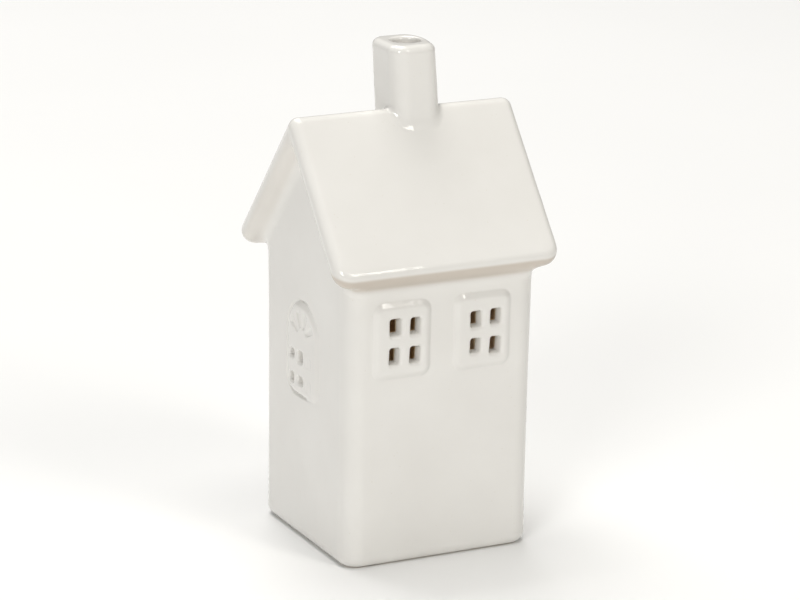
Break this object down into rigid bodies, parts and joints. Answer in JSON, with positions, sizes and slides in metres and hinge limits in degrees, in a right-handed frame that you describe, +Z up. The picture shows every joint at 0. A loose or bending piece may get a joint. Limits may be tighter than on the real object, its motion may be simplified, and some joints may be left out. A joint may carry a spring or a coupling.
{
  "type": "house tea light holder",
  "caption": "White glazed ceramic house with pierced window panels, an open chimney and a rear doorway, holding a loose tea light in its foil cup.",
  "frame": {"origin": "middle of the house's box on the surface it stands on; ridge and foot stand 1.6 mm towards the windows from it, because the rear eave reaches further out", "axes": "+X along the ridge, -Y towards the wall with two windows, +Y towards the doorway, +Z up"},
  "size_m": [0.0944, 0.0934, 0.1947],
  "materials": {
    "white_glaze": "glossy warm white glaze, pooled slightly in the hollows",
    "cup_foil": "drawn foil, satin with fine flutes",
    "paraffin": "unburnt white wax, smooth with a soft sheen",
    "tinned_plate": "thin tinned plate",
    "cotton": "waxed braided cotton"
  },
  "bodies": {
    "house": {"floor": "white_glaze", "front_wall": "white_glaze", "rear_wall": "white_glaze", "left_wall": "white_glaze", "right_wall": "white_glaze", "front_window_left": "white_glaze", "front_window_right": "white_glaze", "gable_window_left": "white_glaze", "gable_window_right": "white_glaze", "roof": "white_glaze", "chimney": "white_glaze"},
    "tea_light": {"tea_light_cup": "cup_foil", "tea_light_wax": "paraffin", "wick_sustainer": "tinned_plate", "wick": "cotton"}
  },
  "joints": [
    {"name": "tea_light_slide", "type": "slide", "parent": "house", "child": "tea_light", "axis": [0, 1, 0], "range_m": [0, 0.075]}
  ]
}
